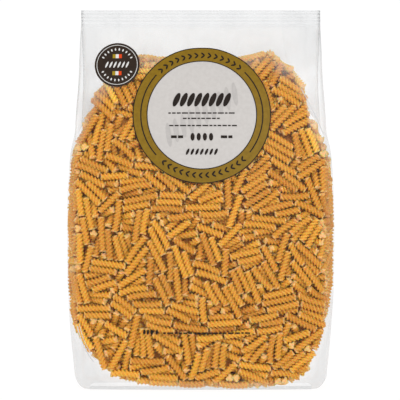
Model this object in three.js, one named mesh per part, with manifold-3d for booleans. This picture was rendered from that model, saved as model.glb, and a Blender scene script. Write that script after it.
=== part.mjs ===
// A clear, side-gusseted bag of dried fusilli that stands on its own folded base.
// Millimetres, +Z up. The front panel faces -Y, and the origin is under the middle of the base.
import * as THREE from "three";
import { mergeVertices } from "three/addons/utils/BufferGeometryUtils.js";
import Module from "manifold-3d";

// The film: two flat panels joined by two side panels, which fold inwards below the top seal.
const PACK_HEIGHT = 428;
const PANEL_WIDTH = 276;
const SIDE_PANEL = 88;
const SEAL_HEIGHT = 16;
const SEAL_THICKNESS = 1.6;
const SEAL_RIBS = 4;
const SEAL_RIB_HEIGHT = 1.8;
const SEAL_RIB_RELIEF = 0.5;

// How far the pasta fills it out, at the height where it is fullest.
const BELLY_Z = 150;
const BELLY_DEPTH = 82;
const BASE_DEPTH = 66;
const GABLE_POWER = 4;
const PANEL_BULGE = 13;
const PANEL_CROWN = 2.4;
const PANEL_FULL_Z = 60;
const BASE_BULGE = 6;
const SIDE_BULGE = 14.2;
const SIDE_FADE_Z = 170;
const SIDE_FLAT_Z = 390;
const BASE_SIDE_SHARE = 0.25;
const CORNER_RADIUS = 15;
const BASE_EDGE_RADIUS = 8;

// The creases spread a little where the sides are full, and the flat seal draws them in.
const SPREAD = 1.6;
const SPREAD_FULL_Z = 250;
const NECK = 3.4;
const NECK_START_Z = 285;
const NECK_FULL_Z = 360;

// Where the side panels stop bulging out and start to fold in, and where the fold closes up.
const FOLD_START_Z = 262;
const FOLD_FULL_Z = 340;
const FOLD_CLOSED_DEPTH = 14;

// The heap inside: rounded below, with sloping shoulders under the empty top of the bag.
const HEAP_TOP_Z = 374;
const SHOULDER_Z = 262;
const SHOULDER_SLOPE = 0.5;
const HEAP_HALF_WIDTH = 143;
const HEAP_FOOT_Z = 76;
const HEAP_FOOT_POWER = 2.3;
const HEAP_EDGE = 8;
const HEAP_BOTTOM_Z = 2;
const HEAP_BOTTOM_EDGE = 12;
const SIDE_MARGIN = 30;

// Fusilli: a three-bladed screw. The pieces stand proud of the core beneath them by RELIEF.
const PIECE_LENGTH = 34;
const PIECE_SHORTEST = 0.85;
const PIECE_LONGEST = 1.1;
const PIECE_RADIUS = 4.5;
const PIECE_TURNS = 4 / 3;
const PIECE_STEPS = 8;
const RELIEF = 3.4;
const PIECE_SPACING = 10;
const PIECES_FRONT = 48;
const PIECES_BACK = 31;
const PIECES_SIDE = 4;
const SIDE_STRIP = 0.25;
const THROWS = 80;
const HEAP_SEED = 24;

// The print: a ring round a pale disc, and a small dark badge beside it.
const LABEL_X = 1.2;
const LABEL_Z = 306.8;
const RING_OUTER = 76.7;
const RING_INNER = 60.2;
const BADGE_X = -93.6;
const BADGE_Z = 363.5;
const BADGE_RADIUS = 25.3;
const PRINT_GAP = 0.5;
const PRINT_THICKNESS = 0.5;
const PRINT_JOIN = 0.4;
const PRINT_MARGIN = 12;
const BAND_WIDTH = 10;

// How finely the film is faceted.
const PANEL_STEPS = 12;
const SIDE_STEPS = 4;
const RING_STEPS = 36;
const WELD = 1e-3;
const LEVELS = [0, 1, 3, 6, 10, 15, 26, 42, 64, 92, 122, 152, 182, 212, 238, 262, 284, 304, 322];
const HEADER_LEVELS = [338, 352, 366, 378, 388, 397, 405, 412, PACK_HEIGHT];

const COLOURS = {
  pasta: { color: 0xd9983c, roughness: 0.55, metalness: 0 },
  ring: { color: 0x967a22, roughness: 0.5, metalness: 0 },
  disc: { color: 0xd7d2cf, roughness: 0.5, metalness: 0 },
  badge: { color: 0x3b2f26, roughness: 0.5, metalness: 0 },
};

const SEAL_Z = PACK_HEIGHT - SEAL_HEIGHT;
const HALF_WIDTH = PANEL_WIDTH / 2;

const lerp = THREE.MathUtils.lerp;
const smoothstep = THREE.MathUtils.smoothstep;

// A repeatable stream of numbers from 0 to 1, so that the heap is the same each time.
function seededRandom(seed) {
  let state = seed;
  return () => {
    state = (state * 1664525 + 1013904223) % 4294967296;
    return state / 4294967296;
  };
}

// 0 at the belly and 1 at the seal.
const climb = (z) => THREE.MathUtils.clamp((z - BELLY_Z) / (SEAL_Z - BELLY_Z), 0, 1);

// 0 at the base and 1 from the belly up.
const swell = (z) => Math.sin((Math.min(z / BELLY_Z, 1) * Math.PI) / 2);

// The distance of the creases from the middle of the front.
function halfWidth(z) {
  const spread = SPREAD * smoothstep(z, BELLY_Z, SPREAD_FULL_Z);
  return HALF_WIDTH + spread - NECK * smoothstep(z, NECK_START_Z, NECK_FULL_Z);
}

// The distance from the front creases to the back ones: a gable above the belly.
function creaseDepth(z) {
  if (z < BELLY_Z) return lerp(BASE_DEPTH, BELLY_DEPTH, swell(z));
  return lerp(BELLY_DEPTH, SEAL_THICKNESS, climb(z) ** GABLE_POWER);
}

// How much further the middle of a panel stands out than its creases.
function panelBulge(z) {
  const low = lerp(BASE_BULGE, PANEL_BULGE, smoothstep(z, 0, PANEL_FULL_Z));
  return low * (1 - climb(z) ** 2);
}

// How far a side panel bulges out.
function sideBulge(z) {
  const low = lerp(BASE_SIDE_SHARE, 1, swell(z));
  return SIDE_BULGE * low * (1 - smoothstep(z, SIDE_FADE_Z, SIDE_FLAT_Z));
}

// How far the middle of a side panel is folded in. The fold closes up just under the seal.
function sideFold(z) {
  const half = creaseDepth(z) / 2;
  const leg = SIDE_PANEL / 2;
  const folded = Math.sqrt(Math.max(leg * leg - half * half, 0));
  const starts = smoothstep(z, FOLD_START_Z, FOLD_FULL_Z);
  const closes = smoothstep(2 * half, SEAL_THICKNESS, FOLD_CLOSED_DEPTH);
  return folded * starts * closes;
}

// A round edge of that radius where the walls meet the base.
const edgeInset = (z, radius) =>
  z < radius ? radius - Math.sqrt(radius * radius - (radius - z) ** 2) : 0;

// Half the width of the heap at a height, as seen from the front.
function heapHalfWidth(z) {
  if (z > SHOULDER_Z) {
    return HEAP_HALF_WIDTH - SHOULDER_SLOPE * (z - SHOULDER_Z);
  }
  if (z < HEAP_FOOT_Z) {
    const down = (HEAP_FOOT_Z - z) / HEAP_FOOT_Z;
    return HEAP_HALF_WIDTH * (1 - down ** HEAP_FOOT_POWER) ** (1 / HEAP_FOOT_POWER);
  }
  return HEAP_HALF_WIDTH;
}

// 1 where the heap lies behind the film, fading to 0 over a piece's width at its outline.
function heapBehind(x, z) {
  const inside = smoothstep(heapHalfWidth(z) - Math.abs(x), 0, HEAP_EDGE);
  const under = smoothstep(HEAP_TOP_Z - z, 0, HEAP_EDGE);
  const over = smoothstep(z - HEAP_BOTTOM_Z, 0, HEAP_BOTTOM_EDGE);
  return inside * under * over;
}

// How far a point of the front is outside the print; negative on the print.
function outsidePrint(x, z) {
  const label = Math.hypot(x - LABEL_X, z - LABEL_Z) - RING_OUTER;
  const badge = Math.hypot(x - BADGE_X, z - BADGE_Z) - BADGE_RADIUS;
  return Math.min(label, badge);
}

// The distance of a panel from the middle plane, out to the film.
function panelDepth(x, z) {
  const across = Math.min(Math.abs(x) / halfWidth(z), 1);
  const bulge = panelBulge(z) * (1 - across ** PANEL_CROWN);
  return creaseDepth(z) / 2 + bulge - edgeInset(z, BASE_EDGE_RADIUS);
}

// The same out to the core under the pieces, which isn't sunk behind the print.
function coreDepth(x, z, side) {
  const bare = side < 0 ? smoothstep(outsidePrint(x, z), 0, PRINT_MARGIN) : 1;
  return panelDepth(x, z) - RELIEF * heapBehind(x, z) * bare;
}

// The distance of a side panel from the middle plane, at -1 to 1 across the panel.
function sideReach(across, z) {
  const bulge = sideBulge(z) * (1 - across * across);
  const fold = sideFold(z) * (1 - Math.abs(across));
  return halfWidth(z) + bulge - fold - edgeInset(z, CORNER_RADIUS);
}

// The same out to the core, which is sunk only where the heap fills the bag's sides.
function coreReach(across, z) {
  const above = smoothstep(z, HEAP_FOOT_Z - SIDE_MARGIN, HEAP_FOOT_Z);
  const below = smoothstep(SHOULDER_Z - z, 0, SIDE_MARGIN);
  return sideReach(across, z) - RELIEF * above * below * (1 - across ** 4);
}

// One level of the bag, anticlockwise from its front left crease.
function section(z) {
  const points = [];
  const creaseX = halfWidth(z) - edgeInset(z, CORNER_RADIUS);
  const creaseY = coreDepth(creaseX, z, 1);
  for (const side of [-1, 1]) {
    for (let i = 0; i < PANEL_STEPS; i += 1) {
      const x = -side * lerp(-creaseX, creaseX, i / PANEL_STEPS);
      points.push([x, side * coreDepth(x, z, side)]);
    }
    for (let i = 0; i < SIDE_STEPS; i += 1) {
      const across = lerp(-1, 1, i / SIDE_STEPS);
      const reach = i === 0 ? creaseX : coreReach(across, z);
      points.push([-side * reach, -side * across * creaseY]);
    }
  }
  return points;
}

// A closed skin over levels that all have the same number of points, capped at both ends.
function loft(levels) {
  const around = levels[0].points.length;
  const corners = [];
  const faces = [];
  for (const { z, points } of levels) {
    for (const [x, y] of points) corners.push(x, y, z);
  }
  for (let level = 0; level + 1 < levels.length; level += 1) {
    for (let i = 0; i < around; i += 1) {
      const a = level * around + i;
      const b = level * around + ((i + 1) % around);
      faces.push(a, b, a + around, b, b + around, a + around);
    }
  }
  const foot = corners.length / 3;
  const top = levels.length - 1;
  corners.push(0, 0, levels[0].z, 0, 0, levels[top].z);
  for (let i = 0; i < around; i += 1) {
    const next = (i + 1) % around;
    faces.push(foot, next, i);
    faces.push(foot + 1, top * around + i, top * around + next);
  }
  const geometry = new THREE.BufferGeometry();
  geometry.setAttribute("position", new THREE.Float32BufferAttribute(corners, 3));
  geometry.setIndex(faces);
  return geometry;
}

// The bag with the heap's surface sunk, ready for the pieces to stand on.
function bagCore() {
  const heights = [...LEVELS, ...HEADER_LEVELS];
  return loft(heights.map((z) => ({ z, points: section(z) })));
}

// One fusillo along X: a three-sided bar twisted about its own axis.
function fusillo(length, phase) {
  const bar = new THREE.CylinderGeometry(PIECE_RADIUS, PIECE_RADIUS, length, 3, PIECE_STEPS);
  const place = bar.getAttribute("position");
  const corner = new THREE.Vector3();
  const axis = new THREE.Vector3(0, 1, 0);
  for (let i = 0; i < place.count; i += 1) {
    corner.fromBufferAttribute(place, i);
    corner.applyAxisAngle(axis, phase - (corner.y / length) * PIECE_TURNS * 2 * Math.PI);
    place.setXYZ(i, corner.x, corner.y, corner.z);
  }
  return bar.rotateZ(-Math.PI / 2);
}

// The place on the film, and the way out of it, at a point of the front (-1) or back (1) panel.
function panelSpot(x, z, side) {
  const at = (px, pz) => new THREE.Vector3(px, side * panelDepth(px, pz), pz);
  const spot = at(x, z);
  const along = at(x + 1, z).sub(spot);
  const up = at(x, z + 1).sub(spot);
  const out = new THREE.Vector3().crossVectors(along, up).normalize();
  return { spot, out: out.multiplyScalar(out.y * side > 0 ? 1 : -1) };
}

// The same for a side panel, -1 for the left one and 1 for the right one.
function sideSpot(y, z, side) {
  const half = creaseDepth(z) / 2;
  const spot = new THREE.Vector3(side * sideReach(y / half, z), y, z);
  const slope = (2 * sideBulge(z) * y) / (half * half);
  return { spot, out: new THREE.Vector3(side, slope, 0).normalize() };
}

// Turns a piece to lie on the film at a spot, its top just under the film.
function lieOn({ spot, out }, turn, length, phase) {
  const level = new THREE.Vector3(0, 0, 1).cross(out).normalize();
  const along = level.applyAxisAngle(out, turn);
  const across = new THREE.Vector3().crossVectors(out, along);
  const centre = spot.clone().addScaledVector(out, -PIECE_RADIUS);
  const pose = new THREE.Matrix4().makeBasis(along, across, out).setPosition(centre);
  const half = along.clone().multiplyScalar(length / 2);
  return {
    geometry: fusillo(length, phase).applyMatrix4(pose),
    ends: [centre.clone().sub(half), centre, centre.clone().add(half)],
  };
}

// The shortest distance between two pieces, by a few points along each.
function gapBetween(one, other) {
  let least = Infinity;
  for (let a = 0; a <= 1; a += 0.125) {
    const p = one.ends[0].clone().lerp(one.ends[2], a);
    for (let b = 0; b <= 1; b += 0.125) {
      const q = other.ends[0].clone().lerp(other.ends[2], b);
      least = Math.min(least, p.distanceTo(q));
    }
  }
  return least;
}

// Whether a panel's piece lies inside the heap's outline and clear of the print, ends included.
const fitsPanel = ({ ends }) =>
  ends.every(({ x, y, z }) => {
    const clear = y > 0 || outsidePrint(x, z) > PRINT_MARGIN;
    return clear && heapBehind(x, z) === 1 && Math.abs(x) < HALF_WIDTH - PIECE_RADIUS;
  });

// Whether a side panel's piece stays between the creases.
const fitsSide = ({ ends }) => ends.every(({ y }) => Math.abs(y) < BELLY_DEPTH * SIDE_STRIP);

// The pieces that show, thrown one by one on each panel and kept where there is room.
function thrownPieces() {
  const random = seededRandom(HEAP_SEED);
  const kept = [];
  const throwOn = (count, spotAt, fits) => {
    let placed = 0;
    for (let tries = 0; tries < THROWS * count && placed < count; tries += 1) {
      const turn = random() * Math.PI;
      const length = PIECE_LENGTH * lerp(PIECE_SHORTEST, PIECE_LONGEST, random());
      const piece = lieOn(spotAt(), turn, length, random() * Math.PI);
      const touches = (other) => gapBetween(piece, other) < PIECE_SPACING;
      if (!fits(piece) || kept.some(touches)) continue;
      kept.push(piece);
      placed += 1;
    }
  };
  const across = () => lerp(-HALF_WIDTH, HALF_WIDTH, random());
  const upward = () => lerp(0, HEAP_TOP_Z, random());
  const between = () => BELLY_DEPTH * lerp(-SIDE_STRIP, SIDE_STRIP, random());
  const beside = () => lerp(HEAP_FOOT_Z + PIECE_LENGTH / 2, SHOULDER_Z - SIDE_MARGIN, random());
  for (const side of [-1, 1]) {
    const onPanel = side < 0 ? PIECES_FRONT : PIECES_BACK;
    throwOn(onPanel, () => panelSpot(across(), upward(), side), fitsPanel);
    throwOn(PIECES_SIDE, () => sideSpot(between(), beside(), side), fitsSide);
  }
  return kept;
}

// The ribs that the sealing jaws press into both faces of the top seal.
function sealRibs() {
  const pitch = SEAL_HEIGHT / SEAL_RIBS;
  const depth = SEAL_THICKNESS + 2 * SEAL_RIB_RELIEF;
  const ribs = [];
  for (let i = 0; i < SEAL_RIBS; i += 1) {
    const rib = new THREE.BoxGeometry(2 * halfWidth(SEAL_Z) - 1, depth, SEAL_RIB_HEIGHT);
    ribs.push(rib.translate(0, 0, SEAL_Z + (i + 0.5) * pitch));
  }
  return ribs;
}

// A lathed plate laid over the front of the bag.
function drape(plate, centreX, centreZ) {
  const place = plate.getAttribute("position");
  for (let i = 0; i < place.count; i += 1) {
    const x = centreX + place.getX(i);
    const z = centreZ - place.getZ(i);
    const proud = PRINT_GAP + PRINT_THICKNESS * place.getY(i);
    place.setXYZ(i, x, -panelDepth(x, z) - proud, z);
  }
  return plate;
}

// A flat washer with a face at 0 and a face at 1, or a disc where the inner radius is 0.
function washer(inner, outer) {
  const bands = Math.ceil((outer - inner) / BAND_WIDTH);
  const profile = [];
  for (const height of [0, 1]) {
    for (let i = 0; i <= bands; i += 1) {
      const share = height === 0 ? i / bands : 1 - i / bands;
      profile.push(new THREE.Vector2(lerp(inner, outer, share), height));
    }
  }
  if (inner > 0) profile.push(profile[0].clone());
  return new THREE.LatheGeometry(profile, RING_STEPS);
}

// The bare solid behind a geometry, for joining.
function solid(wasm, geometry) {
  const bare = new THREE.BufferGeometry();
  bare.setAttribute("position", geometry.getAttribute("position").clone());
  bare.setIndex(geometry.getIndex().clone());
  const merged = mergeVertices(bare, WELD);
  return new wasm.Manifold(
    new wasm.Mesh({
      numProp: 3,
      vertProperties: new Float32Array(merged.getAttribute("position").array),
      triVerts: new Uint32Array(merged.getIndex().array),
    }),
  );
}

function geometryOf(made) {
  const { vertProperties, triVerts, numProp } = made.getMesh();
  const corners = new Float32Array((vertProperties.length / numProp) * 3);
  for (let i = 0; i * 3 < corners.length; i += 1) {
    corners.set(vertProperties.subarray(i * numProp, i * numProp + 3), i * 3);
  }
  const geometry = new THREE.BufferGeometry();
  geometry.setAttribute("position", new THREE.BufferAttribute(corners, 3));
  geometry.setIndex(new THREE.BufferAttribute(new Uint32Array(triVerts), 1));
  return geometry;
}

function piece(name, geometry, look) {
  geometry.computeVertexNormals();
  const mesh = new THREE.Mesh(geometry, new THREE.MeshStandardMaterial(look));
  mesh.name = name;
  return mesh;
}

const wasm = await Module();
wasm.setup();

const raised = [...sealRibs(), ...thrownPieces().map((thrown) => thrown.geometry)];
const filledBag = raised.reduce(
  (whole, shape) => whole.add(solid(wasm, shape)),
  solid(wasm, bagCore()),
);
const ring = drape(washer(RING_INNER, RING_OUTER), LABEL_X, LABEL_Z);
const disc = drape(washer(0, RING_INNER - PRINT_JOIN), LABEL_X, LABEL_Z);
const badge = drape(washer(0, BADGE_RADIUS), BADGE_X, BADGE_Z);

const packet = new THREE.Group();
packet.name = "pasta_packet";
packet.add(piece("filled_bag", geometryOf(filledBag), COLOURS.pasta));
packet.add(piece("label_ring", ring, COLOURS.ring));
packet.add(piece("label_disc", disc, COLOURS.disc));
packet.add(piece("round_badge", badge, COLOURS.badge));

// The print stands a little proud of the front, so the whole is centred over the origin.
const middle = new THREE.Box3().setFromObject(packet).getCenter(new THREE.Vector3());
packet.position.set(-middle.x, -middle.y, 0);

export default packet;
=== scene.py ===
# %% [markdown]
# A clear packet of dried pasta spirals. The real thing is a tube of thin film with folded side
# panels: it is filled from the top, stands on a block base and is closed by a hot ribbed seal.
# We build it as it is made: the film, then the real spirals loose inside it, then the print.
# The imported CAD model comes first, because it fixes where everything sits, in metres.

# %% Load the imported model
import math

import bmesh
import bpy
import numpy as np
from mathutils import Matrix, Vector, noise


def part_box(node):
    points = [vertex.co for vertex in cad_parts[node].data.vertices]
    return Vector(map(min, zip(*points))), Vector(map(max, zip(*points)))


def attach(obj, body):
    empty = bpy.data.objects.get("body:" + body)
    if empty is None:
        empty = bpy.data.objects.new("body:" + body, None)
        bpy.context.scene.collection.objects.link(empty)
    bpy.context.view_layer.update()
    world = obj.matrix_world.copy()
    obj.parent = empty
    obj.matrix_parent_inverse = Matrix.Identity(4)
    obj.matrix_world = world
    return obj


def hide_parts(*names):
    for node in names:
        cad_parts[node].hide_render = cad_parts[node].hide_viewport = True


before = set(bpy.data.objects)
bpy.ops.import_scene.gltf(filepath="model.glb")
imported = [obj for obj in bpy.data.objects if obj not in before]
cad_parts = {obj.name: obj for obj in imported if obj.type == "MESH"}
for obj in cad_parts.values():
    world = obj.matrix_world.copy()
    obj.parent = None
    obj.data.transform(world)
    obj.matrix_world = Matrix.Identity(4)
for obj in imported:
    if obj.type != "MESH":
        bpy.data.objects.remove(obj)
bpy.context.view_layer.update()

bag_low, bag_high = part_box("filled_bag")
MIDDLE_Y = (bag_low.y + bag_high.y) / 2
print("CAD nodes", sorted(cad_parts), "middle plane of the bag at y", round(MIDDLE_Y, 5))

# %% [markdown]
# The photograph is a straight front view of a cut-out on white. A long lens from a metre and a
# half away keeps the sides nearly parallel, as a pack shot does. Floor and wall are one round cove
# of white paper, spun from a bent line, so that no horizon shows from any side.

# %% Camera
CAMERA_Y = -1.52
CAMERA_X = -0.0008
CAMERA_Z = 0.212
LENS = 120.0

camera = bpy.data.objects.new("camera", bpy.data.cameras.new("camera"))
bpy.context.scene.collection.objects.link(camera)
camera.location = (CAMERA_X, CAMERA_Y, CAMERA_Z)
camera.rotation_euler = (math.pi / 2, 0, 0)
camera.data.lens = LENS
camera.data.sensor_width = 36.0
bpy.context.scene.camera = camera
bpy.context.scene.view_settings.view_transform = "Standard"


# %% Helpers that turn a bmesh into an object, and build a material
def finished(bm, name, material, smooth=True):
    """The bmesh as an object of its own at the origin."""
    mesh = bpy.data.meshes.new(name)
    bm.to_mesh(mesh)
    bm.free()
    mesh.polygons.foreach_set("use_smooth", [smooth] * len(mesh.polygons))
    mesh.materials.append(material)
    made = bpy.data.objects.new(name, mesh)
    bpy.context.scene.collection.objects.link(made)
    return made


def node_material(name):
    """A new material, with its nodes and its Principled shader."""
    made = bpy.data.materials.new(name)
    made.use_nodes = True
    nodes = made.node_tree.nodes
    return made, nodes, made.node_tree.links, nodes["Principled BSDF"]


# %% Floor, wall and lights
COVE_RADIUS = 2.6
COVE_BEND = 0.6
COVE_HEIGHT = 0.8

white, white_nodes, white_links, white_shader = node_material("white_paper")
white_shader.inputs["Base Color"].default_value = (0.12, 0.12, 0.12, 1)
white_shader.inputs["Roughness"].default_value = 1.0
white_shader.inputs["Specular IOR Level"].default_value = 0.0
white_shader.inputs["Emission Color"].default_value = (1, 1, 1, 1)
white_shader.inputs["Emission Strength"].default_value = 0.92

bm = bmesh.new()
hub = bm.verts.new((0, 0, 0))
rim = bm.verts.new((COVE_RADIUS, 0, 0))
bm.edges.new((hub, rim))
bend = bmesh.ops.spin(
    bm,
    geom=[rim],
    cent=(COVE_RADIUS, 0, COVE_BEND),
    axis=(0, -1, 0),
    angle=math.pi / 2,
    steps=12,
)["geom_last"]
foot = [v for v in bend if isinstance(v, bmesh.types.BMVert)]
top = bmesh.ops.extrude_vert_indiv(bm, verts=foot)["verts"]
bmesh.ops.translate(bm, verts=top, vec=(0, 0, COVE_HEIGHT))
bmesh.ops.spin(
    bm,
    geom=list(bm.verts) + list(bm.edges),
    cent=(0, 0, 0),
    axis=(0, 0, 1),
    angle=2 * math.pi,
    steps=64,
    use_merge=True,
)
bmesh.ops.remove_doubles(bm, verts=bm.verts, dist=1e-5)
bmesh.ops.recalc_face_normals(bm, faces=bm.faces)
cove = finished(bm, "paper_cove", white)
print("cove reaches", [round(c, 2) for c in cove.dimensions])


def softbox(name, place, aim, size, power):
    """A square area light at a place, turned to an aim."""
    lamp = bpy.data.lights.new(name, "AREA")
    lamp.size = size
    lamp.energy = power
    made = bpy.data.objects.new(name, lamp)
    bpy.context.scene.collection.objects.link(made)
    made.location = place
    made.rotation_euler = (Vector(aim) - Vector(place)).to_track_quat("-Z", "Y").to_euler()
    return made


softbox("key_light", (0.4, -1.75, 1.0), (0, 0, 0.2), 1.1, 13)
softbox("side_light", (-1.5, -1.1, 0.8), (0, 0, 0.2), 0.7, 5)
softbox("top_light", (0, 0.3, 2.0), (0, 0, 0.2), 1.6, 8)

world = bpy.data.worlds.new("studio")
world.use_nodes = True
world.node_tree.nodes["Background"].inputs["Color"].default_value = (1, 1, 1, 1)
world.node_tree.nodes["Background"].inputs["Strength"].default_value = 0.5
bpy.context.scene.world = world

# %% [markdown]
# The bag's shape is a rule, not a list of points: each height has a depth between its creases, a
# bulge of the front and back panels, and a bulge or an inward fold of the side panels. The packed
# model was made by the same rule, so film, pasta and print all find the same surface.

# %% The bag's sizes
PACK_HEIGHT = 0.428
HALF_WIDTH = 0.138
SIDE_LEG = 0.044
SEAL_Z = 0.412
SEAL_THICKNESS = 0.0016
SEAL_RIBS = 4
SEAL_RIB_RELIEF = 0.0004
BELLY_Z = 0.150
BELLY_DEPTH = 0.082
BASE_DEPTH = 0.066
GABLE_POWER = 4
PANEL_BULGE = 0.013
PANEL_CROWN = 2.4
PANEL_FULL_Z = 0.060
BASE_BULGE = 0.006
SIDE_BULGE = 0.0142
SIDE_FADE_Z = 0.170
SIDE_FLAT_Z = 0.390
BASE_SIDE_SHARE = 0.25
CORNER_RADIUS = 0.015
BASE_EDGE_RADIUS = 0.008
FOLD_START_Z = 0.262
FOLD_FULL_Z = 0.340
SPREAD = 0.0016
SPREAD_FULL_Z = 0.250
NECK = 0.0034
NECK_START_Z = 0.285
NECK_FULL_Z = 0.360


# %% The rule of the film's surface
def ease(value, low, high):
    """0 below low, 1 above high and a smooth step between them."""
    share = np.clip((value - low) / (high - low), 0, 1)
    return share * share * (3 - 2 * share)


def mixed(low, high, share):
    return low + (high - low) * share


def climb(z):
    """0 at the belly and 1 at the seal."""
    return np.clip((z - BELLY_Z) / (SEAL_Z - BELLY_Z), 0, 1)


def swell(z):
    """0 at the base and 1 from the belly up."""
    return np.sin(np.clip(z / BELLY_Z, 0, 1) * np.pi / 2)


def half_width(z):
    """The distance of the creases from the middle of the front."""
    spread = SPREAD * ease(z, BELLY_Z, SPREAD_FULL_Z)
    return HALF_WIDTH + spread - NECK * ease(z, NECK_START_Z, NECK_FULL_Z)


def crease_depth(z):
    """From the front creases to the back ones: a gable above the belly."""
    below = mixed(BASE_DEPTH, BELLY_DEPTH, swell(z))
    above = mixed(BELLY_DEPTH, SEAL_THICKNESS, climb(z) ** GABLE_POWER)
    return np.where(z < BELLY_Z, below, above)


def panel_bulge(z):
    return mixed(BASE_BULGE, PANEL_BULGE, ease(z, 0, PANEL_FULL_Z)) * (1 - climb(z) ** 2)


def side_bulge(z):
    low = mixed(BASE_SIDE_SHARE, 1, swell(z))
    return SIDE_BULGE * low * (1 - ease(z, SIDE_FADE_Z, SIDE_FLAT_Z))


def side_fold(z):
    """How far the middle of a side panel is folded in."""
    half = crease_depth(z) / 2
    return np.sqrt(np.maximum(SIDE_LEG**2 - half**2, 0)) * ease(z, FOLD_START_Z, FOLD_FULL_Z)


def edge_inset(z, radius):
    """A round edge where the walls meet the base."""
    down = np.clip(radius - z, 0, radius)
    return radius - np.sqrt(radius**2 - down**2)


def panel_depth(x, z):
    """A panel's distance from the middle plane."""
    across = np.minimum(np.abs(x) / half_width(z), 1)
    bulge = panel_bulge(z) * (1 - across**PANEL_CROWN)
    return crease_depth(z) / 2 + bulge - edge_inset(z, BASE_EDGE_RADIUS)


def side_reach(across, z):
    """A side panel's distance from the middle, at -1 to 1 across the panel."""
    bulge = side_bulge(z) * (1 - across**2)
    fold = side_fold(z) * (1 - np.abs(across))
    return half_width(z) + bulge - fold - edge_inset(z, CORNER_RADIUS)


belly = np.array([BELLY_Z])
print("depth at the belly", 2 * panel_depth(0 * belly, belly), "width", 2 * side_reach(0 * belly, belly))

# %% [markdown]
# The spirals fill the bag up to an uneven top and down to rounded lower corners, where the folded
# film leaves no room. Two short outlines say how high and how low the heap goes across the front.

# %% The heap's outline across the front
HEAP_TOP = (
    (-0.150, 0.262), (-0.143, 0.276), (-0.132, 0.300), (-0.119, 0.334), (-0.096, 0.360),
    (-0.073, 0.379), (-0.040, 0.374), (0.040, 0.374), (0.060, 0.379), (0.078, 0.383),
    (0.101, 0.366), (0.116, 0.346), (0.122, 0.314), (0.134, 0.290), (0.144, 0.268), (0.150, 0.258),
)
HEAP_FOOT = (
    (-0.152, 0.104), (-0.147, 0.077), (-0.138, 0.058), (-0.126, 0.040), (-0.112, 0.023),
    (-0.097, 0.012), (-0.060, 0.003), (0.056, 0.0005), (0.080, 0.002), (0.101, 0.006),
    (0.118, 0.015), (0.128, 0.036), (0.139, 0.066), (0.147, 0.097), (0.152, 0.120),
)


def heap_top(x):
    return np.interp(x, *zip(*HEAP_TOP))


def heap_foot(x):
    return np.interp(x, *zip(*HEAP_FOOT))


print("heap from", round(float(heap_foot(0.0)), 3), "to", round(float(heap_top(0.078)), 3))

# %% [markdown]
# Everything loose in the bag has to know how much room it has before each wall, and which way out
# that wall faces. The slope of a wall comes from two readings a millimetre apart, which is far
# simpler than working out each rule's own slope, and quick for thousands of points at once.

# %% Room to each wall, for many points at once
PROBE = 0.0005
LEAST_HALF = 0.002


def slope(rule, at):
    """How fast a rule of one value changes there."""
    return (rule(at + PROBE) - rule(at - PROBE)) / (2 * PROBE)


def room(points):
    """The distance from each point to panel, side, top and foot, and each wall's way out."""
    x, y, z = points.T
    y = y - MIDDLE_Y
    face, end = np.where(y < 0, -1.0, 1.0), np.where(x < 0, -1.0, 1.0)
    half = np.maximum(crease_depth(z) / 2, LEAST_HALF)
    across = np.clip(y / half, -1, 1)
    zero = np.zeros_like(x)
    gaps = (
        panel_depth(x, z) - np.abs(y),
        side_reach(across, z) - np.abs(x),
        heap_top(x) - z,
        z - heap_foot(x),
    )
    ways = (
        (-slope(lambda v: panel_depth(v, z), x), face, -slope(lambda v: panel_depth(x, v), z)),
        (end, -slope(lambda v: side_reach(v, z), across) / half, -slope(lambda v: side_reach(across, v), z)),
        (-slope(heap_top, x), zero, zero + 1),
        (slope(heap_foot, x), zero, zero - 1),
    )
    out = np.stack([np.stack(way, 1) for way in ways], 1)
    length = np.linalg.norm(out, axis=2)
    return np.stack(gaps, 1) / length, out / length[:, :, None]


middle = np.array([[0.0, MIDDLE_Y, 0.2]])
print("room at the middle, to panel, side, top and foot", room(middle)[0].round(3))

# %% [markdown]
# A pasta spiral is dough pressed through a three-armed slot that turns it as it leaves. So is ours:
# a circle of nine points, two for each blade and one for each groove, is carried up and round by
# spin with a step along its axis. A few lengths and bends are enough, as turning hides repeats.

# %% One spiral
BLADE_REACH = 0.00445
BLADE_ROOT = 0.0022
BLADE_HALF_ANGLE = math.radians(25)
SPIRAL_LENGTH = 0.034
SPIRAL_PITCH = 0.0128
STEPS_A_TURN = 6
LENGTH_SHARES = (0.84, 0.9, 0.96, 1.0, 1.06, 1.13)
BENDS = (0.0012, 0.0, 0.0022, 0.0006, 0.0016, 0.0)


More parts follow.
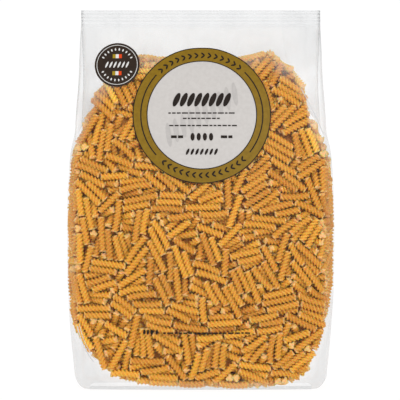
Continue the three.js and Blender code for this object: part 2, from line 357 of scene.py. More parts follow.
def spiral(share, bend):
    """A spiral along Z, its middle at the origin: points, faces, and which are blade tips or cut ends."""
    length = SPIRAL_LENGTH * share
    steps = round(STEPS_A_TURN * length / SPIRAL_PITCH)
    bm = bmesh.new()
    bmesh.ops.create_circle(bm, segments=9, radius=BLADE_REACH)
    for i, corner in enumerate(bm.verts):
        blade, part = divmod(i, 3)
        angle = 2 * math.pi * blade / 3 + (part - 1) * BLADE_HALF_ANGLE
        if part == 2:
            angle = 2 * math.pi * (blade + 0.5) / 3
        corner.co = Vector((math.cos(angle), math.sin(angle), 0)) * (BLADE_ROOT if part == 2 else BLADE_REACH)
    start = list(bm.edges)
    end = bmesh.ops.spin(
        bm,
        geom=list(bm.verts) + start,
        cent=(0, 0, 0),
        axis=(0, 0, 1),
        dvec=(0, 0, length / steps),
        angle=2 * math.pi * steps / STEPS_A_TURN,
        steps=steps,
    )["geom_last"]
    bmesh.ops.contextual_create(bm, geom=start)
    bmesh.ops.contextual_create(bm, geom=[e for e in end if isinstance(e, bmesh.types.BMEdge)])
    bmesh.ops.translate(bm, verts=bm.verts, vec=(0, 0, -length / 2))
    bmesh.ops.recalc_face_normals(bm, faces=bm.faces)
    tips = np.array([1.0 if v.co.xy.length > (BLADE_REACH + BLADE_ROOT) / 2 else 0.0 for v in bm.verts])
    cuts = np.array([1.0 if abs(v.co.z) > length / 2 - PROBE else 0.0 for v in bm.verts])
    for corner in bm.verts:
        corner.co.x += bend * (0.6 - (2 * corner.co.z / length) ** 2)
    bm.verts.index_update()
    points = np.array([v.co[:] for v in bm.verts])
    faces = [[v.index for v in f.verts] for f in bm.faces]
    bm.free()
    return points, faces, tips, cuts, length


spirals = [spiral(share, bend) for share, bend in zip(LENGTH_SHARES, BENDS)]
print("spiral kinds", len(spirals), "faces each", [len(s[1]) for s in spirals])

# %% [markdown]
# Three kilos is well over two thousand spirals, but only those near the film can be seen. So we
# throw two layers of them behind each panel and let a brown core stand for the rest. Pieces in a
# shaken bag lie against the film and in small bundles side by side. A slowly changing direction
# across the panel, with some scatter, gives that start. Few of them touch the film all along: each
# gets its own distance from it, and one end further in than the other, so that pieces overlap.
# At the thin top and foot of the heap the pieces get a paler tone: painted backlight, for the light from behind that
# shines through there.

# %% Throw the spirals behind the film
HEAP_SEED = 11
LAYER_DEPTHS = (0.0050, 0.0135)
PANEL, SIDE, TOP, FOOT = range(4)
COUNTS = ((PANEL, -1, 285, 310), (PANEL, 1, 285, 310), (SIDE, -1, 46, 34), (SIDE, 1, 46, 34))
COUNTS += ((TOP, 1, 44, 24), (FOOT, 1, 84, 20))
SIDE_TOP_Z = 0.330
BUNDLE_SIZE = 0.050
BUNDLE_TURN = 2.6
SCATTER = 0.55
STEEP_SHARE = 0.12
STEEP_LEAN = 0.9
REST_GAPS = (0.0, 0.0038)
REST_SPREADS = (0.0011, 0.0014)
END_LIFT = 0.0014
TOP_PAINTED_BACKLIGHT = 0.85
FOOT_PAINTED_BACKLIGHT = 0.25
TONE_MIDDLE = 0.38
TONE_SPREAD = 0.18
TONE_PLAIN = 0.75
RIM_DEPTH = 0.035
INSIDE = 0.004

draw = np.random.default_rng(HEAP_SEED)


def bundle_turn(a, b, seed):
    """A direction that changes slowly across a panel, with some scatter."""
    slow = noise.noise(Vector((a / BUNDLE_SIZE, b / BUNDLE_SIZE, seed)))
    return BUNDLE_TURN * math.pi * slow + draw.normal(0, SCATTER)


def spot_behind(wall, face, depth):
    """A random point at a depth behind one of the bag's walls or the heap's top or foot."""
    x, z, share = draw.uniform(-0.15, 0.15), draw.uniform(0, PACK_HEIGHT), draw.uniform(-1, 1)
    if wall == PANEL:
        return x, face * (panel_depth(x, z) - depth), z
    if wall == SIDE:
        z = draw.uniform(0, SIDE_TOP_Z)
        return face * (side_reach(0.7 * share, z) - depth), 0.7 * share * crease_depth(z) / 2, z
    z = heap_top(x) - depth if wall == TOP else heap_foot(x) + depth
    return x, share * panel_depth(x, z), z


def throw(wall, face, depth, count):
    """Centres and directions of pieces at a depth behind a wall."""
    found = []
    while len(found) < count:
        x, y, z = spot_behind(wall, face, depth)
        gaps, out = room(np.array([[x, MIDDLE_Y + y, z]], float))
        if gaps.min() < INSIDE:
            continue
        flat = np.cross(out[0, wall], (0, 1, 0) if wall > SIDE else (0, 0, 1))
        flat /= np.linalg.norm(flat)
        up = np.cross(out[0, wall], flat)
        turn = bundle_turn(x + y, z, 10 * wall + 3 * face + 100 * depth)
        way = math.cos(turn) * flat + math.sin(turn) * up
        steep = draw.random() < STEEP_SHARE
        if steep:
            way += STEEP_LEAN * out[0, wall]
        found.append((x, MIDDLE_Y + y, z, *(way / np.linalg.norm(way)), steep))
    return np.array(found, float)


thrown, home, layer = [], [], []
for wall, face, *counts in COUNTS:
    for level, count in enumerate(counts):
        thrown.append(throw(wall, face, LAYER_DEPTHS[level], count))
        home += [wall] * count
        layer += [level] * count
thrown, home, layer = np.concatenate(thrown), np.array(home), np.array(layer)
centre, axis, steep = thrown[:, :3].copy(), thrown[:, 3:6].copy(), thrown[:, 6]
kind = draw.integers(0, len(spirals), len(centre))
roll = draw.uniform(0, 2 * math.pi, len(centre))
# Painted backlight: pieces near the top and the foot of the heap get a paler tone.
painted_backlight = TOP_PAINTED_BACKLIGHT * (1 - ease(heap_top(centre[:, 0]) - centre[:, 2], 0, RIM_DEPTH))
painted_backlight += FOOT_PAINTED_BACKLIGHT * (1 - ease(centre[:, 2] - heap_foot(centre[:, 0]), 0, RIM_DEPTH))
tone = np.clip(draw.normal(TONE_MIDDLE, TONE_SPREAD, len(centre)), 0, TONE_PLAIN)
tone = np.clip(tone + painted_backlight, 0, 1)
rest = np.abs(draw.normal(np.take(REST_GAPS, layer), np.take(REST_SPREADS, layer)))
lift = draw.normal(0, END_LIFT, len(centre))
print("spirals thrown", len(centre), "steep", int(steep.sum()))

# %% [markdown]
# Thrown at random, the pieces run through each other. A rigid body simulation would sort that out
# but takes minutes. Each piece is nearly a round rod, so we only need the nearest points of two
# rods: where they are too close, both are pushed apart and turned a little, again and again, while
# a pull keeps the pieces against the film and the walls of the bag hold them in.

# %% Let the spirals settle
SETTLE_STEPS = 170
PAIRS_EVERY = 6
CONTACT = 0.0078
SKIN = 0.0006
PULL = 0.0006
PUSH = 0.32
half = np.array([spirals[k][-1] for k in kind]) / 2 - BLADE_REACH * 0.6


def near_pairs():
    """Every two pieces whose rods could touch soon."""
    square = (centre**2).sum(1)
    apart = square[:, None] + square[None, :] - 2 * centre @ centre.T
    reach = half[:, None] + half[None, :] + CONTACT + 0.004
    return np.nonzero(np.triu(apart < reach**2, 1))


def nearest(one, two):
    """Where two rods come closest: the places along each, and the way between them."""
    between = centre[one] - centre[two]
    lean = (axis[one] * axis[two]).sum(1)
    along_one = (axis[one] * between).sum(1)
    along_two = (axis[two] * between).sum(1)
    spread = np.maximum(1 - lean**2, 1e-6)
    s = np.clip((lean * along_two - along_one) / spread, -half[one], half[one])
    t = np.clip(lean * s + along_two, -half[two], half[two])
    s = np.clip(lean * t - along_one, -half[one], half[one])
    way = between + s[:, None] * axis[one] - t[:, None] * axis[two]
    return s, t, way


def shift(which, lever, move):
    """Moves rods by pushes at places along them, and turns them as far as the lever asks."""
    turn = np.zeros_like(centre)
    np.add.at(centre, which, move)
    np.add.at(turn, which, (3 * lever / (half[which] + BLADE_REACH) ** 2)[:, None] * move)
    turn -= (turn * axis).sum(1)[:, None] * axis
    axis[:] = axis + turn
    axis[:] = axis / np.linalg.norm(axis, axis=1)[:, None]


every = np.arange(len(centre))
for step in range(SETTLE_STEPS):
    if step % PAIRS_EVERY == 0:
        one, two = near_pairs()
    s, t, way = nearest(one, two)
    apart = np.maximum(np.linalg.norm(way, axis=1), 1e-6)
    touch = apart < CONTACT
    push = PUSH * ((CONTACT - apart[touch]) / apart[touch])[:, None] * way[touch]
    shift(one[touch], s[touch], push)
    shift(two[touch], t[touch], -push)
    fade = 1 - step / SETTLE_STEPS
    for place in (-1, 0, 1):
        gaps, out = room(centre + place * half[:, None] * axis)
        back = np.minimum(gaps - BLADE_REACH - SKIN, 0)
        move = (back[:, :, None] * out).sum(1) * 0.6
        spare = gaps[every, home] - BLADE_REACH - SKIN - rest - place * lift
        pull = np.clip(spare, 0, PULL * fade)
        pull = pull * np.where(place == 0, 1, 1 - steep)
        move += pull[:, None] * out[every, home]
        shift(every, place * half, move)
deep = np.maximum(CONTACT - apart, 0)
print("pairs", len(one), "deepest overlap", deep.max().round(5), "mean", deep[deep > 0].mean().round(5))

# %% [markdown]
# Dry pasta is matt and slightly translucent. The grooves get painted shade: their colour is multiplied to a warmer,
# deeper gold, for the shade there and the light seen through the dough, while the blades keep the piece's own tone.
# The cut ends are floury, and every piece has its own tone.
# These come from numbers stored on the points: tone for each piece, which near the heap's top and foot also holds
# painted backlight, blade for how far out a point is, cut for the ends. A little subsurface light softens the
# shadows, as in real dough.

# %% The pasta's finish, with painted shade in the grooves
pasta_skin, nodes, links, shader = node_material("dry_pasta")
place = nodes.new("ShaderNodeTexCoord")
tone_and_backlight_value = nodes.new("ShaderNodeAttribute")
tone_and_backlight_value.attribute_name = "tone"
blade_value = nodes.new("ShaderNodeAttribute")
blade_value.attribute_name = "blade"
tone_and_backlight_ramp = nodes.new("ShaderNodeValToRGB")
tone_and_backlight_ramp.color_ramp.elements[0].color = (0.51, 0.226, 0.010, 1)
# Above the plain tones the ramp runs to a paler gold, which only the painted backlight reaches.
tone_and_backlight_ramp.color_ramp.elements[1].color = (0.88, 0.52, 0.060, 1)
plain = tone_and_backlight_ramp.color_ramp.elements.new(TONE_PLAIN)
plain.color = (0.71, 0.372, 0.024, 1)
links.new(tone_and_backlight_value.outputs["Fac"], tone_and_backlight_ramp.inputs["Fac"])
# Painted shade: the grooves' colour is multiplied by a warmer, deeper tint.
painted_groove_shade = nodes.new("ShaderNodeMix")
painted_groove_shade.data_type = "RGBA"
painted_groove_shade.blend_type = "MULTIPLY"
painted_groove_shade.inputs["B"].default_value = (1.18, 0.90, 0.62, 1)
groove_shade_mask = nodes.new("ShaderNodeMath")
groove_shade_mask.operation = "SUBTRACT"
groove_shade_mask.inputs[0].default_value = 1.0
links.new(blade_value.outputs["Fac"], groove_shade_mask.inputs[1])
links.new(groove_shade_mask.outputs[0], painted_groove_shade.inputs["Factor"])
links.new(tone_and_backlight_ramp.outputs["Color"], painted_groove_shade.inputs["A"])
flour = nodes.new("ShaderNodeTexNoise")
flour.inputs["Scale"].default_value = 700.0
flour.inputs["Detail"].default_value = 3.0
links.new(place.outputs["Object"], flour.inputs["Vector"])
dust = nodes.new("ShaderNodeValToRGB")
dust.color_ramp.elements[0].position = 0.45
dust.color_ramp.elements[0].color = (0, 0, 0, 1)
dust.color_ramp.elements[1].position = 0.8
dust.color_ramp.elements[1].color = (0.35, 0.35, 0.35, 1)
links.new(flour.outputs["Fac"], dust.inputs["Fac"])
cut_value = nodes.new("ShaderNodeAttribute")
cut_value.attribute_name = "cut"
floury = nodes.new("ShaderNodeMath")
floury.operation = "MULTIPLY_ADD"
floury.use_clamp = True
floury.inputs[1].default_value = 0.75
links.new(cut_value.outputs["Fac"], floury.inputs[0])
links.new(dust.outputs["Color"], floury.inputs[2])
dusted = nodes.new("ShaderNodeMix")
dusted.data_type = "RGBA"
dusted.inputs["B"].default_value = (0.88, 0.55, 0.22, 1)
links.new(floury.outputs[0], dusted.inputs["Factor"])
links.new(painted_groove_shade.outputs["Result"], dusted.inputs["A"])
links.new(dusted.outputs["Result"], shader.inputs["Base Color"])
grain = nodes.new("ShaderNodeBump")
grain.inputs["Strength"].default_value = 0.25
grain.inputs["Distance"].default_value = 0.0004
links.new(flour.outputs["Fac"], grain.inputs["Height"])
links.new(grain.outputs["Normal"], shader.inputs["Normal"])
shader.inputs["Roughness"].default_value = 0.55
shader.inputs["Specular IOR Level"].default_value = 0.25
shader.inputs["Subsurface Weight"].default_value = 0.75
shader.inputs["Subsurface Radius"].default_value = (1.0, 0.42, 0.12)
shader.inputs["Subsurface Scale"].default_value = 0.0045


# %% Join the spirals into meshes
LEAST_GAP = 0.0004


def held_in(points):
    """The points, with those that stand through a wall of the bag pressed back behind it."""
    gaps, out = room(points)
    through = np.maximum(LEAST_GAP - gaps[:, :TOP], 0)
    return points - (through[:, :, None] * out[:, :TOP]).sum(1)


def joined(name, chosen):
    """The chosen spirals as one mesh, each turned to its own place."""
    points, faces, tones_and_backlight_here, blades, ends, start = [], [], [], [], [], 0
    for i in chosen:
        shape, loops, tips, cuts, _ = spirals[kind[i]]
        turned = Vector(axis[i]).to_track_quat("Z", "X").to_matrix() @ Matrix.Rotation(roll[i], 3, "Z")
        points.append(shape @ np.array(turned).T + centre[i])
        faces += [[start + v for v in loop] for loop in loops]
        tones_and_backlight_here.append(np.full(len(shape), tone[i]))
        blades.append(tips)
        ends.append(cuts)
        start += len(shape)
    mesh = bpy.data.meshes.new(name)
    mesh.from_pydata(held_in(np.concatenate(points)).tolist(), [], faces)
    mesh.polygons.foreach_set("use_smooth", [len(f) == 4 for f in faces])
    for label, values in (("tone", tones_and_backlight_here), ("blade", blades), ("cut", ends)):
        stored = mesh.attributes.new(label, "FLOAT", "POINT")
        stored.data.foreach_set("value", np.concatenate(values).astype(np.float32))
    mesh.materials.append(pasta_skin)
    made = bpy.data.objects.new(name, mesh)
    bpy.context.scene.collection.objects.link(made)
    print(name, "spirals", len(chosen), "faces", len(faces))
    return made


panels = home == PANEL
for name, chosen in (
    ("spirals_front", panels & (centre[:, 1] < MIDDLE_Y)),
    ("spirals_back", panels & (centre[:, 1] >= MIDDLE_Y)),
    ("spirals_rim", ~panels),
):
    heap = joined(name, np.nonzero(chosen)[0])
    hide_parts("filled_bag")
    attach(heap, "root")

# %% [markdown]
# Between the spirals the eye meets more spirals in brown shade. A core far enough behind the film
# stands for them: a ball whose every point slides out until it has just that much room left, which
# gives it the heap's own form without a single hand-placed point.

# %% The core of the heap
CORE_DEPTH = 0.0165
CORE_CENTRE = (0.0, MIDDLE_Y, 0.19)
CORE_REACH = 0.26
LUMP_SIZE = 0.011
LUMP_DEPTH = 0.003

shade, nodes, links, shader = node_material("shaded_pasta")
place = nodes.new("ShaderNodeTexCoord")
patches = nodes.new("ShaderNodeTexVoronoi")
patches.inputs["Scale"].default_value = 110.0
links.new(place.outputs["Object"], patches.inputs["Vector"])
# The core's browns are painted shade: a browner gold than the spirals, for the shaded pieces it stands for.
painted_shade_browns = nodes.new("ShaderNodeValToRGB")
painted_shade_browns.color_ramp.elements[0].color = (0.78, 0.31, 0.030, 1)
painted_shade_browns.color_ramp.elements[1].color = (0.48, 0.17, 0.02, 1)
links.new(patches.outputs["Distance"], painted_shade_browns.inputs["Fac"])
links.new(painted_shade_browns.outputs["Color"], shader.inputs["Base Color"])
shader.inputs["Roughness"].default_value = 0.8

bm = bmesh.new()
bmesh.ops.create_icosphere(bm, subdivisions=6, radius=1.0)
rays = np.array([v.co[:] for v in bm.verts])
near, far = np.zeros(len(rays)), np.full(len(rays), CORE_REACH)
lumps = np.array([noise.noise(Vector(ray) * CORE_REACH / LUMP_SIZE) for ray in rays])
for _ in range(24):
    tried = (near + far) / 2
    gaps = room(np.array(CORE_CENTRE) + tried[:, None] * rays)[0].min(1)
    inside = gaps > CORE_DEPTH + LUMP_DEPTH * lumps
    near, far = np.where(inside, tried, near), np.where(inside, far, tried)
for corner, ray, reach in zip(bm.verts, rays, near):
    corner.co = Vector(CORE_CENTRE) + Vector(ray) * float(reach)
core = finished(bm, "heap_core", shade)
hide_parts("filled_bag")
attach(core, "root")
print("core measures", [round(c, 3) for c in core.dimensions])

# %% [markdown]
# The film is one tube of clear plastic, a twentieth of a millimetre thick. A flat grid is rolled
# round the bag by the rule above: its columns run round the four panels and its rows climb from
# base to seal. Then its side edges are merged and its two open ends are closed. Above the pasta
# nothing stretches the film, so the header gets soft creases there.

# %% Creases of the film
HEADER_FOOT_Z = 0.330
CREASE_HEIGHT = 0.0026
RIB_PITCH = (PACK_HEIGHT - SEAL_Z) / SEAL_RIBS


def header_creases(x, z, face):
    """How far the loose film above the pasta stands out or in."""
    loose = ease(z, HEADER_FOOT_Z, HEADER_FOOT_Z + 0.04) * (1 - ease(z, SEAL_Z - 0.03, SEAL_Z - 0.002))
    waves = np.sin(x / 0.013 + z / 0.021 + face) * np.sin(z / 0.017 - x / 0.031 + 2 * face)
    fine = 0.6 * np.sin(x / 0.0062 - z / 0.012 + face)
    return CREASE_HEIGHT * loose * (waves + fine + 1.6) / 2


def seal_ribs(z):
    """The ribs that the jaws press into the seal."""
    share = np.clip((z - SEAL_Z) / RIB_PITCH, 0, SEAL_RIBS)
    return SEAL_RIB_RELIEF * np.sin(share * np.pi) ** 2


def film_depth(x, z, face):
    """A panel's distance from the middle plane with its creases and ribs."""
    return panel_depth(x, z) + header_creases(x, z, face) + seal_ribs(z)


# %% Roll the film
COLUMNS = ((0, 0.0), (64, 1.0), (74, 1.485), (78, 1.515), (88, 2.0))
COLUMNS += tuple((at + 88, turn + 2) for at, turn in COLUMNS[1:])
ROWS = ((0, 0.0), (10, 0.015), (96, SEAL_Z), (128, PACK_HEIGHT))

bm = bmesh.new()
bmesh.ops.create_grid(bm, x_segments=COLUMNS[-1][0], y_segments=ROWS[-1][0], size=0.5)
flat = np.array([v.co[:] for v in bm.verts])
around = np.interp((flat[:, 0] + 0.5) * COLUMNS[-1][0], *zip(*COLUMNS))
z = np.interp((flat[:, 1] + 0.5) * ROWS[-1][0], *zip(*ROWS))
panel, share = np.floor(around) % 4, around % 1
crease_x = half_width(z) - edge_inset(z, CORNER_RADIUS)
face = np.where(panel < 2, -1.0, 1.0)
x_panel = -face * mixed(-crease_x, crease_x, share)
crease_y = panel_depth(crease_x, z) + seal_ribs(z)
across = -face * mixed(1.0, -1.0, share)
on_panel = panel % 2 == 0
x = np.where(on_panel, x_panel, -face * side_reach(across, z))
y = np.where(on_panel, face * film_depth(x_panel, z, face), -across * crease_y)
on_crease = np.abs(around - np.round(around)) < 1e-3
side_panel = bm.verts.layers.float.new("side_panel")
for corner, front, *spot in zip(bm.verts, on_panel | on_crease, x, MIDDLE_Y + y, z):
    corner.co = spot
    corner[side_panel] = 0.0 if front else 1.0
bmesh.ops.remove_doubles(bm, verts=bm.verts, dist=1e-6)
rims = [e for e in bm.edges if e.is_boundary]
bmesh.ops.holes_fill(bm, edges=rims, sides=0)
bmesh.ops.recalc_face_normals(bm, faces=bm.faces)
print("film points", len(bm.verts), "open edges", sum(e.is_boundary for e in bm.edges))

# %% [markdown]
# Film that touches the pasta is almost invisible, while the empty film above it and in the lower corners looks milky,
# because both its faces scatter light. That share of milk is stored on the points as haze, and it mixes clear with a
# soft white plastic. Folded film is double, so the side panels and the seal get more. The haze also carries painted
# light: over the top of the heap it is raised, partly as painted backlight, and along the seal's ribs it makes
# painted shade.

# %% How milky the film is, and the painted light it carries
HAZE_ON_PASTA = 0.02
SHOULDER_HAZE_AND_BACKLIGHT = 0.27
HAZE_HEADER = 0.17
HAZE_FOOT = 0.25
HAZE_HEM = 0.22
HEM_Z = 0.016
HAZE_SIDE = 0.09
HAZE_PLEAT = (0.03, 0.08)
HAZE_FOLD = 0.30
HAZE_SEAL = 0.25
HAZE_EDGE = 0.28
EDGE_BAND = (0.006, 0.0015)
RIB_PAINTED_SHADE = 0.07
FADE = 0.016
SHOULDER_FADE = 0.034

spots = np.array([v.co[:] for v in bm.verts])
x, y, z = spots.T
above = ease(z - heap_top(x), -FADE / 2, FADE)
# Over the top of the heap the haze is partly the film standing off the pasta and partly painted backlight.
shoulder = ease(z - heap_top(x), -SHOULDER_FADE, 0)
below = ease(heap_foot(x) - z, -FADE / 2, FADE)
beside = ease(np.abs(x) - half_width(z), -0.006, 0.004)
haze = mixed(mixed(HAZE_ON_PASTA, SHOULDER_HAZE_AND_BACKLIGHT, shoulder), HAZE_HEADER, above)
haze = mixed(haze, HAZE_FOOT, below)
haze = np.maximum(haze, HAZE_HEM * (1 - ease(z, 0, HEM_Z)))
haze = np.maximum(haze, HAZE_SIDE * beside * (1 - above))
on_side = np.array([v[side_panel] for v in bm.verts])
outer = ease(np.abs(y - MIDDLE_Y) / crease_depth(z) * 2, 0.45, 0.6)
pleated = on_side * ease(z, FOLD_FULL_Z - 0.02, FOLD_FULL_Z)
haze = mixed(haze, mixed(*HAZE_PLEAT, outer), pleated)
haze = mixed(haze, mixed(HAZE_SEAL, HAZE_PLEAT[0], on_side), ease(z, SEAL_Z - 0.001, SEAL_Z))
# Painted shade on the seal's ribs: the haze rises in the grooves between ribs and falls on the crests, so the ribs
# show as darker lines.
rib_shade_line = np.cos(np.clip((z - SEAL_Z) / RIB_PITCH, 0, SEAL_RIBS) * 2 * np.pi)
haze = haze + RIB_PAINTED_SHADE * (1 - on_side) * ease(z, SEAL_Z, SEAL_Z + 0.001) * rib_shade_line
folded = ease(z, FOLD_START_Z, FOLD_START_Z + 0.01) * (1 - ease(z, FOLD_FULL_Z, FOLD_FULL_Z + 0.02))
at_fold = 1 - ease(np.abs(y - MIDDLE_Y), 0.0002, 0.0009)
haze = np.maximum(haze, HAZE_FOLD * folded * at_fold)
slack = 1 - ease(z, SEAL_Z - 0.012, SEAL_Z)
near_edge = ease(np.abs(x) - half_width(z), -EDGE_BAND[0], -EDGE_BAND[1]) * above * (1 - on_side)
haze = mixed(haze, np.maximum(haze, HAZE_EDGE), near_edge * slack)
FILM_ROUGHNESS = 0.34
SEAL_ROUGHNESS = 0.6

clear_film, nodes, links, shader = node_material("hazy_film")
milk_and_painted_light = nodes.new("ShaderNodeAttribute")
milk_and_painted_light.attribute_name = "haze"
place = nodes.new("ShaderNodeTexCoord")
stretch = nodes.new("ShaderNodeMapping")
stretch.inputs["Scale"].default_value = (1.0, 1.0, 0.35)
links.new(place.outputs["Object"], stretch.inputs["Vector"])
wrinkle = nodes.new("ShaderNodeTexNoise")
wrinkle.inputs["Scale"].default_value = 38.0
wrinkle.inputs["Detail"].default_value = 4.0
wrinkle.inputs["Distortion"].default_value = 0.6
links.new(stretch.outputs["Vector"], wrinkle.inputs["Vector"])
loose = nodes.new("ShaderNodeAttribute")
loose.attribute_name = "slack"
ripple = nodes.new("ShaderNodeBump")
links.new(loose.outputs["Fac"], ripple.inputs["Strength"])
ripple.inputs["Distance"].default_value = 0.002
links.new(wrinkle.outputs["Fac"], ripple.inputs["Height"])
links.new(ripple.outputs["Normal"], shader.inputs["Normal"])
uneven = nodes.new("ShaderNodeMapRange")
uneven.inputs["From Min"].default_value = 0.3
uneven.inputs["From Max"].default_value = 0.7
uneven.inputs["To Min"].default_value = 0.8
uneven.inputs["To Max"].default_value = 1.2
links.new(wrinkle.outputs["Fac"], uneven.inputs["Value"])
milky_and_painted_light = nodes.new("ShaderNodeMath")
milky_and_painted_light.operation = "MULTIPLY"
milky_and_painted_light.use_clamp = True
links.new(milk_and_painted_light.outputs["Fac"], milky_and_painted_light.inputs[0])
links.new(uneven.outputs["Result"], milky_and_painted_light.inputs[1])
links.new(milky_and_painted_light.outputs[0], shader.inputs["Alpha"])
shader.inputs["Base Color"].default_value = (0.56, 0.57, 0.58, 1)
shader.inputs["Metallic"].default_value = 0.4
satin = nodes.new("ShaderNodeMath")
satin.operation = "MULTIPLY_ADD"
satin.inputs[1].default_value = FILM_ROUGHNESS - SEAL_ROUGHNESS
satin.inputs[2].default_value = SEAL_ROUGHNESS
links.new(loose.outputs["Fac"], satin.inputs[0])
links.new(satin.outputs[0], shader.inputs["Roughness"])

film = finished(bm, "film", clear_film)
for label, values in (("haze", haze), ("slack", slack)):
    stored = film.data.attributes.new(label, "FLOAT", "POINT")
    stored.data.foreach_set("value", values.astype(np.float32))
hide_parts("filled_bag")
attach(film, "root")
print("haze from", haze.min().round(3), "to", haze.max().round(3))

# %% [markdown]
# The print is ink on the film: a mustard ring with dark edges round a pale disc, and a small dark
# badge. Each shape is drawn flat, as strips spun round a centre or small stamped marks, laid on
# the film by the same rule and given a skin of ink. Real labels carry words there. Ours carries
# plain motifs of like weight: grains, spirals, dots and dashes.

# %% Draw flat shapes and lay them on the film
LABEL = (0.0012, 0.3068)
RING_OUTER = 0.0767
RING_INNER = 0.0602
BADGE = (-0.0936, 0.3635)
BADGE_RADIUS = 0.0253
INK = 0.00008
FIRST_COAT = 0.00015
SECOND_COAT = 0.00032
THIRD_COAT = 0.00049
BAND = 0.004
INK_SHINE = 0.15


def strip(bm, centre, inner, outer, start=0.0, turn=360.0):
    """A curved strip round a centre in the XZ plane, from a start angle on, in degrees."""
    count = max(1, math.ceil((outer - inner) / BAND))
    steps = max(6, round(turn / 360 * 2 * math.pi * outer / 0.003))
    way = Vector((math.cos(math.radians(start)), 0, math.sin(math.radians(start))))
    middle = Vector((centre[0], 0, centre[1]))
    row = [bm.verts.new(middle + way * mixed(inner, outer, i / count)) for i in range(count + 1)]
    edges = [bm.edges.new(pair) for pair in zip(row, row[1:])]
    bmesh.ops.spin(
        bm,
        geom=row + edges,
        cent=middle,
        axis=(0, -1, 0),
        angle=math.radians(turn),
        steps=steps,
        use_merge=turn == 360.0,
    )


def mark(bm, x, z, width, height, lean=0.0, corners=14):
    """A small flat oval, or a plain box where it has four corners."""
    grow = math.sqrt(0.5) if corners == 4 else 0.5
    matrix = (
        Matrix.Translation((x, 0, z))
        @ Matrix.Rotation(math.radians(lean), 4, "Y")
        @ Matrix.Diagonal((width * grow, 1, height * grow, 1))
        @ Matrix.Rotation(math.pi / 2, 4, "X")
        @ Matrix.Rotation(math.pi / 4 if corners == 4 else 0, 4, "Z")
    )
    bmesh.ops.create_circle(bm, cap_ends=True, segments=corners, radius=1.0, matrix=matrix)


def printed(bm, name, ink, coat, node):
    """Lays the flat shapes on the film, gives them the ink's thickness and makes the piece."""
    bmesh.ops.remove_doubles(bm, verts=bm.verts, dist=1e-6)
    for corner in bm.verts:
        x, z = corner.co.x, corner.co.z
        corner.co.y = MIDDLE_Y - float(film_depth(x, z, -1.0)) - coat
    bm.normal_update()
    away = [f for f in bm.faces if f.normal.y > 0]
    bmesh.ops.reverse_faces(bm, faces=away)
    bmesh.ops.solidify(bm, geom=list(bm.faces), thickness=INK)
    piece = finished(bm, name, ink, smooth=False)
    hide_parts(node)
    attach(piece, "root")
    print(name, "faces", len(piece.data.polygons))
    return piece


def ink_material(name, colour, deeper, roughness):
    """Ink on film: nearly even, with the faint mottle that printing leaves."""
    made, nodes, links, shader = node_material(name)
    place = nodes.new("ShaderNodeTexCoord")
    mottle = nodes.new("ShaderNodeTexNoise")
    mottle.inputs["Scale"].default_value = 260.0
    mottle.inputs["Detail"].default_value = 4.0
    links.new(place.outputs["Object"], mottle.inputs["Vector"])
    tint = nodes.new("ShaderNodeValToRGB")
    tint.color_ramp.elements[0].position = 0.35
    tint.color_ramp.elements[0].color = (*deeper, 1)
    tint.color_ramp.elements[1].position = 0.65
    tint.color_ramp.elements[1].color = (*colour, 1)
    links.new(mottle.outputs["Fac"], tint.inputs["Fac"])
    links.new(tint.outputs["Color"], shader.inputs["Base Color"])
    shader.inputs["Roughness"].default_value = roughness
    shader.inputs["Specular IOR Level"].default_value = INK_SHINE
    return made


# %% [markdown]
# Where the film bends sharply it keeps a pleat: a narrow strip of doubled film. Its pale grey is partly the doubled
# film and partly painted highlight, for the glare that a real pleat catches. One runs beside the pasta in the lower
# left corner, a finer one under the right shoulder.
# Each is an arc through two places, cut as a strip and laid on the film like the print.

# %% Pleats of the film, with their painted glare
PLEATS_AND_GLARE = (
    ((-0.1370, 0.0720), (-0.1190, 0.0325), 0.0028, 0.0014),
    ((-0.1345, 0.0735), (-0.1165, 0.0345), 0.0028, 0.0008),
    ((0.1362, 0.2850), (0.1120, 0.3360), 0.0010, 0.0009),
)

pleat_and_glare_film, nodes, links, shader = node_material("pleated_film")
place = nodes.new("ShaderNodeTexCoord")
broken = nodes.new("ShaderNodeTexNoise")
broken.inputs["Scale"].default_value = 150.0
links.new(place.outputs["Object"], broken.inputs["Vector"])
strength = nodes.new("ShaderNodeMapRange")
strength.inputs["From Min"].default_value = 0.35
strength.inputs["From Max"].default_value = 0.65
strength.inputs["To Min"].default_value = 0.35
strength.inputs["To Max"].default_value = 0.75
links.new(broken.outputs["Fac"], strength.inputs["Value"])
links.new(strength.outputs["Result"], shader.inputs["Alpha"])
# Pale grey: the doubled film, with painted highlight for the glare along the pleat.
shader.inputs["Base Color"].default_value = (0.62, 0.62, 0.63, 1)
shader.inputs["Roughness"].default_value = 0.35


def pleat_and_glare(bm, start, end, sag, width):
    """A narrow arc from start to end, bowed by sag to the right of that way."""
    start, end = Vector(start), Vector(end)
    chord = end - start
    radius = (chord.length**2 / 4 + sag**2) / (2 * sag)
    side = Vector((chord.y, -chord.x)).normalized()
    centre = (start + end) / 2 - side * (radius - sag)
    first, last = (math.degrees(math.atan2(*reversed(spot - centre))) for spot in (start, end))
    strip(bm, centre, radius - width / 2, radius + width / 2, first, (last - first) % 360)


bm = bmesh.new()
for one_pleat_and_glare in PLEATS_AND_GLARE:
    pleat_and_glare(bm, *one_pleat_and_glare)
printed(bm, "film_pleats", pleat_and_glare_film, FIRST_COAT, "filled_bag")

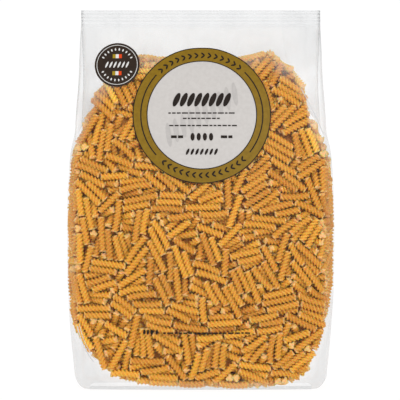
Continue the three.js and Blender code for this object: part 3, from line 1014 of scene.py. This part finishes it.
# %% The inks
mustard = ink_material("mustard_ink", (0.225, 0.132, 0.006), (0.19, 0.108, 0.004), 0.45)
pale = ink_material("pale_ink", (0.525, 0.50, 0.48), (0.495, 0.47, 0.45), 0.5)
brown = ink_material("brown_ink", (0.027, 0.016, 0.009), (0.021, 0.012, 0.007), 0.5)
black = ink_material("black_ink", (0.016, 0.010, 0.007), (0.011, 0.007, 0.005), 0.6)
faint = ink_material("faint_ink", (0.455, 0.43, 0.415), (0.42, 0.40, 0.385), 0.5)
chalk = ink_material("chalk_ink", (0.66, 0.65, 0.63), (0.62, 0.61, 0.59), 0.5)
olive = ink_material("olive_ink", (0.34, 0.23, 0.010), (0.30, 0.20, 0.008), 0.5)
tomato = ink_material("tomato_ink", (0.66, 0.055, 0.003), (0.60, 0.048, 0.003), 0.5)

# %% The ring and the disc
bm = bmesh.new()
strip(bm, LABEL, RING_INNER, RING_OUTER)
printed(bm, "ring", mustard, FIRST_COAT, "label_ring")

bm = bmesh.new()
strip(bm, LABEL, 0.0, RING_INNER - 0.00005)
printed(bm, "disc", pale, FIRST_COAT, "label_disc")

# %% Marks round the ring
EDGE_LINE = 0.0010
ARC_LINE = 0.0013
ARC_RADIUS = 0.0676
GRAIN_STEP = 6.2
GRAINS_EACH = 14
GRAIN_LEAN = 38

bm = bmesh.new()
strip(bm, LABEL, RING_OUTER - EDGE_LINE, RING_OUTER)
strip(bm, LABEL, RING_INNER, RING_INNER + EDGE_LINE)
for start in (-38.5, 138.5):
    strip(bm, LABEL, ARC_RADIUS - ARC_LINE / 2, ARC_RADIUS + ARC_LINE / 2, start, 83.5)
for middle in (92.0, 272.0):
    for i in range(GRAINS_EACH):
        angle = math.radians(middle + GRAIN_STEP * (i - (GRAINS_EACH - 1) / 2))
        for wing in (-1, 1):
            reach = ARC_RADIUS + wing * 0.0015
            x = LABEL[0] + reach * math.cos(angle)
            z = LABEL[1] + reach * math.sin(angle)
            mark(bm, x, z, 0.0019, 0.0052, wing * GRAIN_LEAN - math.degrees(angle))
printed(bm, "ring_marks", black, SECOND_COAT, "label_ring")

# %% A pale spiral across the disc
def spiral_row(bm, x, z, strokes, pitch, height, thick, tilt=0.0):
    """A spiral drawn as a row of leaning strokes. The whole row may be tilted."""
    way = Vector((math.cos(math.radians(tilt)), math.sin(math.radians(tilt))))
    for i in range(strokes):
        at = Vector((x, z)) + way * pitch * (i - (strokes - 1) / 2)
        mark(bm, at.x, at.y, thick, height, 24 - tilt)


bm = bmesh.new()
spiral_row(bm, *LABEL, 10, 0.0096, 0.0270, 0.0058, 32)
printed(bm, "disc_pale_spiral", faint, SECOND_COAT, "label_disc")

# %% Motifs on the disc
DASH_ROWS = ((0.0015, 0.037, 0.0014), (-0.0045, 0.021, 0.0014), (-0.0125, 0.036, 0.0014))
TIMER_Z = -0.025


def dashes(bm, x, z, half_length, height):
    """A row of short dashes of uneven length, centred on x."""
    at = -half_length
    while at < half_length:
        long = draw.uniform(0.0022, 0.0070)
        mark(bm, x + at + long / 2, z, long, height, 0.0, 4)
        at += long + 0.0014


bm = bmesh.new()
x, z = LABEL
spiral_row(bm, x, z + 0.0165, 8, 0.0080, 0.0168, 0.0062)
spiral_row(bm, x, z - 0.0415, 7, 0.0052, 0.0076, 0.0028)
for row_z, half_length, height in DASH_ROWS:
    dashes(bm, x, z + row_z, half_length, height)
for side in (-1, 1):
    dashes(bm, x + side * 0.0275, z + TIMER_Z, 0.0065, 0.0030)
for i in range(4):
    mark(bm, x + 0.0068 * (i - 1.5), z + TIMER_Z, 0.0046, 0.0086)
printed(bm, "disc_motifs", black, THIRD_COAT, "label_disc")

# %% The badge
BADGE_CIRCLE = 0.0224
BADGE_DOTS = 26
RIBBON = ((-0.0034, olive), (0.0, chalk), (0.0034, tomato))

bm = bmesh.new()
strip(bm, BADGE, 0.0, BADGE_RADIUS)
printed(bm, "badge", brown, FIRST_COAT, "round_badge")

bm = bmesh.new()
x, z = BADGE
strip(bm, BADGE, BADGE_CIRCLE, BADGE_CIRCLE + 0.0006)
for i in range(BADGE_DOTS):
    angle = 2 * math.pi * i / BADGE_DOTS
    if abs(math.cos(angle)) < 0.93:
        mark(bm, x + 0.0178 * math.cos(angle), z + 0.0178 * math.sin(angle), 0.0016, 0.0030, 90 - math.degrees(angle))
spiral_row(bm, x, z, 6, 0.0046, 0.0078, 0.0020)
printed(bm, "badge_marks", chalk, SECOND_COAT, "round_badge")

for offset, ink in RIBBON:
    bm = bmesh.new()
    for up in (-0.0098, 0.0098):
        mark(bm, x + offset, z + up, 0.0034, 0.0046, 0.0, 4)
    printed(bm, "ribbon_" + ink.name.split("_")[0], ink, SECOND_COAT, "round_badge")

# %% The line of small print
LINE_Z = 0.0653

bm = bmesh.new()
for at in (-0.0622, -0.0582, -0.0540, -0.0485):
    mark(bm, at, LINE_Z + 0.0010, 0.0028, 0.0054, 8.0)
dashes(bm, 0.005, LINE_Z, 0.0465, 0.0017)
printed(bm, "low_line", black, SECOND_COAT, "filled_bag")
